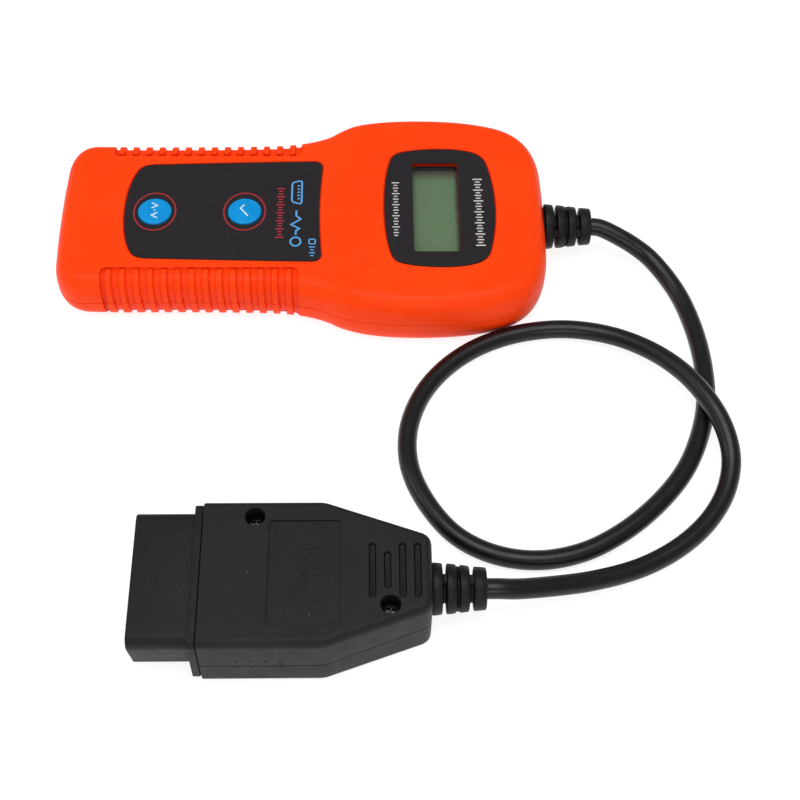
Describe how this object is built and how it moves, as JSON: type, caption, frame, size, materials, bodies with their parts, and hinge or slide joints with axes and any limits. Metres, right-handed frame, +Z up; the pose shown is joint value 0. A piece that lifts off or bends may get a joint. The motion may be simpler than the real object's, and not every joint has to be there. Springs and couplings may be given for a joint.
{
  "type": "obd code reader",
  "caption": "Handheld vehicle code reader: ribbed case with keys and a small display, joined by a cable to a vehicle diagnostic plug.",
  "frame": {"origin": "on the ground under the middle of the reader's case", "axes": "+X along the case towards the cable, +Y across the case away from the plug, +Z up out of the display"},
  "size_m": [0.2263, 0.2103, 0.025],
  "materials": {
    "case_orange": "satin moulded ABS, fine even grain",
    "label_film": "printed polycarbonate film, satin",
    "window_plastic": "clear moulded window",
    "key_blue": "smooth",
    "switch_black": "matt",
    "bright_steel": "tin-plated",
    "lcd_green": "grey-green liquid crystal panel",
    "white_plastic": "natural nylon",
    "board_green": "solder mask over glass fibre",
    "chip_black": "moulded epoxy",
    "capacitor_can": "plain can",
    "wire_jacket": "thin PVC",
    "screw_steel": "zinc-plated",
    "cord_rubber": "satin flexible PVC",
    "plug_black": "fine spark-eroded texture",
    "pin_brass": "plated"
  },
  "bodies": {
    "reader": {"front_shell": "case_orange", "rear_shell": "case_orange", "key_overlay": "label_film", "display_overlay": "label_film", "display_lens": "window_plastic", "scroll_switch_base": "bright_steel", "enter_switch_base": "bright_steel", "lcd_frame": "bright_steel", "crystal": "bright_steel", "lcd_glass": "lcd_green", "lcd_backlight": "white_plastic", "cable_header": "white_plastic", "cable_connector": "white_plastic", "lcd_board": "board_green", "main_board": "board_green", "microcontroller": "chip_black", "bus_transceiver": "chip_black", "voltage_regulator": "chip_black", "lcd_header": "chip_black", "filter_capacitor": "capacitor_can", "reader_wires": "wire_jacket", "plug_wires": "wire_jacket", "case_screw_1": "screw_steel", "case_screw_2": "screw_steel", "case_screw_3": "screw_steel", "case_screw_4": "screw_steel", "board_screw_1": "screw_steel", "board_screw_2": "screw_steel", "board_screw_3": "screw_steel", "board_screw_4": "screw_steel", "plug_screw_1": "screw_steel", "plug_screw_2": "screw_steel", "reader_strain_relief": "cord_rubber", "cord": "cord_rubber", "plug_strain_relief": "cord_rubber", "plug_upper_shell": "plug_black", "plug_lower_shell": "plug_black", "plug_insert": "plug_black", "plug_pin_01": "pin_brass", "plug_pin_02": "pin_brass", "plug_pin_03": "pin_brass", "plug_pin_04": "pin_brass", "plug_pin_05": "pin_brass", "plug_pin_06": "pin_brass", "plug_pin_07": "pin_brass", "plug_pin_08": "pin_brass", "plug_pin_09": "pin_brass", "plug_pin_10": "pin_brass", "plug_pin_11": "pin_brass", "plug_pin_12": "pin_brass", "plug_pin_13": "pin_brass", "plug_pin_14": "pin_brass", "plug_pin_15": "pin_brass", "plug_pin_16": "pin_brass"},
    "scroll_key": {"scroll_button": "key_blue", "scroll_switch_plunger": "switch_black"},
    "enter_key": {"enter_button": "key_blue", "enter_switch_plunger": "switch_black"}
  },
  "joints": [
    {"name": "scroll_key_press", "type": "slide", "parent": "reader", "child": "scroll_key", "axis": [0, 0, -1], "range_m": [0, 0.0005], "stiffness_N_per_m": 3000},
    {"name": "enter_key_press", "type": "slide", "parent": "reader", "child": "enter_key", "axis": [0, 0, -1], "range_m": [0, 0.0005], "stiffness_N_per_m": 3000}
  ]
}
